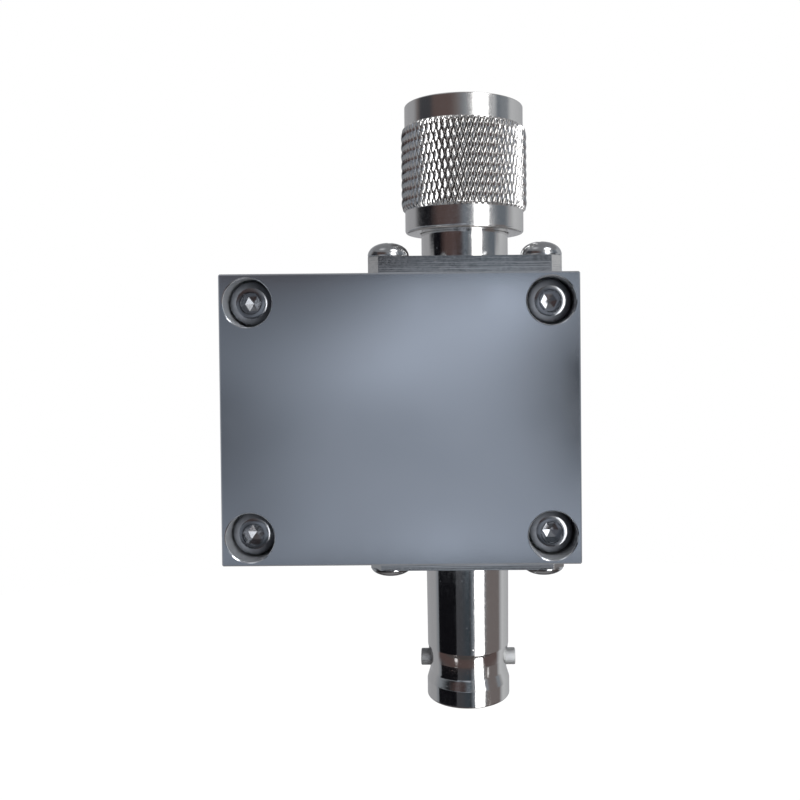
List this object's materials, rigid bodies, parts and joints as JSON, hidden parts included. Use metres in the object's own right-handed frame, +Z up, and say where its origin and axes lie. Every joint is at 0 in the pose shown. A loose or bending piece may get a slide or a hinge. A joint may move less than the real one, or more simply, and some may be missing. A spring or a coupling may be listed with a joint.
{
  "type": "bandpass filter",
  "caption": "Inline coaxial bandpass filter: milled aluminium box with a threaded plug on a free-running knurled nut above and a bayonet jack below.",
  "frame": {"origin": "on the connector axis at the plug's reference plane, where the outer contact's straight wall ends, 1.5 mm inside the nut's mouth", "axes": "+Z up along the connector axis, out of the plug's mouth; -Y out of the plain front face; +X to the right of that face"},
  "size_m": [0.0365, 0.0286, 0.0686],
  "materials": {
    "satin_aluminium": "fine satin, bead blasted and clear anodised",
    "steel": "plain bright stainless",
    "nickel_plate": "bright nickel plate over turned brass",
    "spring_steel": "dark spring steel",
    "gold_plate": "gold plate over beryllium copper",
    "ptfe": "white turned PTFE",
    "silicone": "red-brown silicone",
    "board": "green solder mask over glass epoxy",
    "enamelled_copper": "clear enamel over copper wire",
    "chip_ceramic": "tan ceramic with tinned ends"
  },
  "bodies": {
    "filter": {"housing": "satin_aluminium", "rear_cover": "satin_aluminium", "cover_screws": "steel", "plug_body": "nickel_plate", "plug_outer_contact": "nickel_plate", "plug_insulator": "ptfe", "plug_pin": "gold_plate", "retaining_ring": "spring_steel", "plug_gasket": "silicone", "plug_flange_screws": "steel", "jack_body": "nickel_plate", "bayonet_studs": "nickel_plate", "jack_insulator": "ptfe", "jack_contact": "gold_plate", "jack_flange_screws": "steel", "circuit_board": "board", "board_screws": "steel", "input_coil": "enamelled_copper", "middle_coil": "enamelled_copper", "output_coil": "enamelled_copper", "shunt_capacitors": "chip_ceramic", "coupling_capacitors": "chip_ceramic"},
    "nut": {"coupling_nut": "nickel_plate"}
  },
  "joints": [
    {"name": "nut_turn", "type": "hinge", "parent": "filter", "child": "nut", "pos_m": [0, 0, 0], "axis": [0, 0, 1], "continuous": true}
  ]
}
